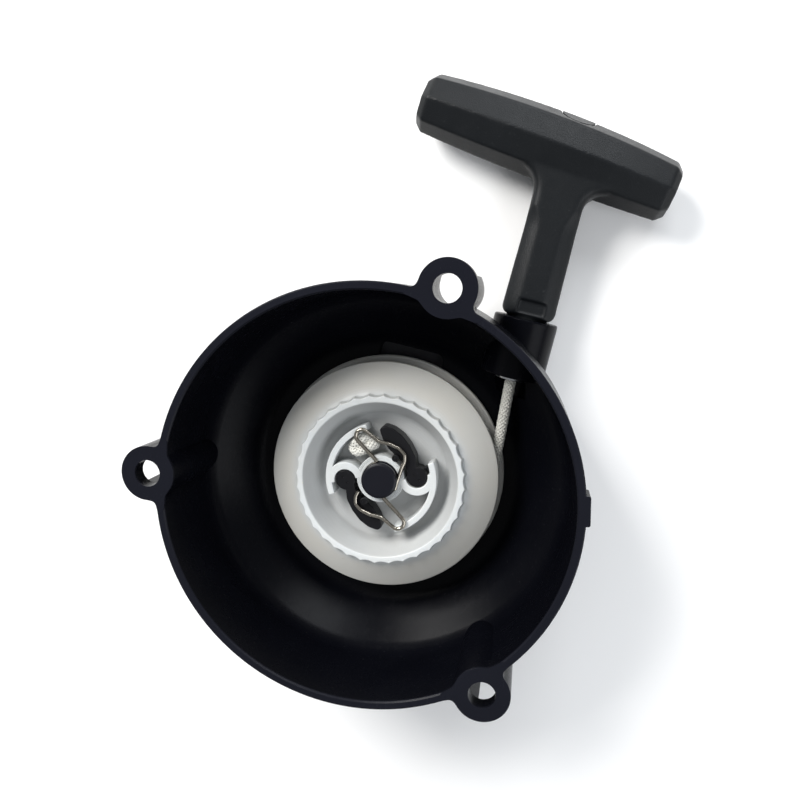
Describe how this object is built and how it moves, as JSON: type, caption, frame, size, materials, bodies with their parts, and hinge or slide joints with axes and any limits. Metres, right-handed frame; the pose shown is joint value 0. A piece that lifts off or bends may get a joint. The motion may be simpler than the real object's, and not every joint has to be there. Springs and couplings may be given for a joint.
{
  "type": "recoil starter",
  "caption": "Pull-rope starter: bowl housing with bolt ears, rope reel with swinging pawls and wire friction clip, and a T-handle on a braided rope.",
  "frame": {"origin": "centre of the flat back face, on the reel's axis", "axes": "+Z points out of the open side of the bowl towards the engine, +Y is the way the rope is pulled"},
  "size_m": [0.1104, 0.1507, 0.039],
  "materials": {
    "housing_plastic": "black moulded plastic, satin outside and smoother inside the bowl",
    "post_plastic": "black moulded plastic, smooth head with a rounded edge",
    "bush_steel": "plain bright steel ferrule",
    "reel_nylon": "natural white nylon, soft gloss, slightly translucent",
    "spring_steel": "blued spring strip, lightly oiled",
    "pawl_plastic": "black engineering plastic with a fine grain",
    "clip_steel": "round spring wire, plated, slightly warm",
    "rope_braid": "off-white braided polyester cord",
    "handle_plastic": "charcoal moulded plastic with a fine grain"
  },
  "bodies": {
    "housing_body": {"housing": "housing_plastic", "reel_post": "post_plastic", "rope_guide_bush": "bush_steel", "rope_lead": "rope_braid"},
    "reel_body": {"reel": "reel_nylon", "spring_cover": "reel_nylon", "recoil_spring": "spring_steel", "rope_winding": "rope_braid", "rope_reel_knot": "rope_braid"},
    "pawl_1_body": {"pawl_1": "pawl_plastic"},
    "pawl_2_body": {"pawl_2": "pawl_plastic"},
    "clip_body": {"friction_clip": "clip_steel"},
    "handle_body": {"handle": "handle_plastic", "handle_plug": "handle_plastic", "rope_handle_run": "rope_braid", "rope_handle_knot": "rope_braid"}
  },
  "joints": [
    {"name": "reel_spin", "type": "hinge", "parent": "housing_body", "child": "reel_body", "pos_m": [0, 0, 0.01], "axis": [0, 0, 1], "range_deg": [0, 1860], "stiffness_Nm_per_rad": 0.0028, "springref_deg": -1432.39, "deforming": ["recoil_spring"]},
    {"name": "handle_pull", "type": "slide", "parent": "housing_body", "child": "handle_body", "axis": [0, 1, 0], "range_m": [0, 0.7]},
    {"name": "clip_turn", "type": "hinge", "parent": "reel_body", "child": "clip_body", "pos_m": [0, 0, 0.01655], "axis": [0, 0, 1], "range_deg": [-50, 0]},
    {"name": "pawl_1_swing", "type": "hinge", "parent": "reel_body", "child": "pawl_1_body", "pos_m": [0.0089, 0.0029, 0.0132], "axis": [0, 0, 1], "range_deg": [-12.1, 0]},
    {"name": "pawl_2_swing", "type": "hinge", "parent": "reel_body", "child": "pawl_2_body", "pos_m": [-0.0089, -0.0029, 0.0132], "axis": [0, 0, 1], "range_deg": [-12.1, 0]}
  ],
  "couplings": [
    {"joint": "handle_pull", "follows": "reel_spin", "m_per_rad": 0.0215},
    {"joint": "pawl_1_swing", "follows": "clip_turn", "ratio": 0.24},
    {"joint": "pawl_2_swing", "follows": "clip_turn", "ratio": 0.24}
  ]
}
